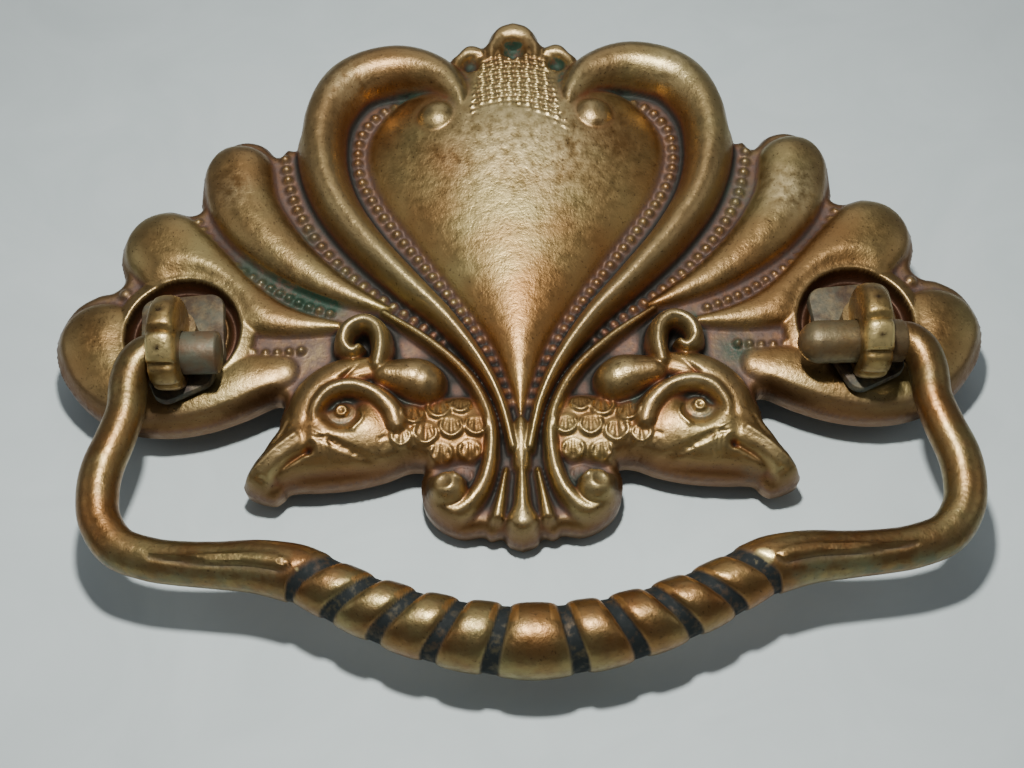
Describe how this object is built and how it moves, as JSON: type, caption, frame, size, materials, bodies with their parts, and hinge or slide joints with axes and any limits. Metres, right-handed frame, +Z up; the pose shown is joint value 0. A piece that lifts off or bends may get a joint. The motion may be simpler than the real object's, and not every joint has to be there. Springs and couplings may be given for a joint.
{
  "type": "drawer bail pull",
  "caption": "Drawer bail pull: embossed brass backplate with scrolls, fan lobes and bird heads, drop-eye posts with nuts, and a swinging bail handle.",
  "frame": {"origin": "midway between the two post axes, on the back plane of the plate where it lies on the drawer front", "axes": "+X from the left post to the right post, +Y along the shanks into the drawer front, +Z up with the bail hanging down"},
  "size_m": [0.1058, 0.0411, 0.0859],
  "materials": {
    "plate_brass": "aged, stamped, worn satin",
    "bail_brass": "aged, cast, brown patina",
    "post_brass": "aged, cast, worn bright on the eye",
    "washer_steel": "dull",
    "nut_brass": "dull turned"
  },
  "bodies": {
    "mounted": {"backplate": "plate_brass", "left_eye_post": "post_brass", "right_eye_post": "post_brass", "left_washer": "washer_steel", "right_washer": "washer_steel", "left_nut": "nut_brass", "right_nut": "nut_brass"},
    "bail": {"bail_handle": "bail_brass"}
  },
  "joints": [
    {"name": "bail_swing", "type": "hinge", "parent": "mounted", "child": "bail", "pos_m": [0, -0.0086, -0.005], "axis": [-1, 0, 0], "range_deg": [-8, 150]}
  ]
}
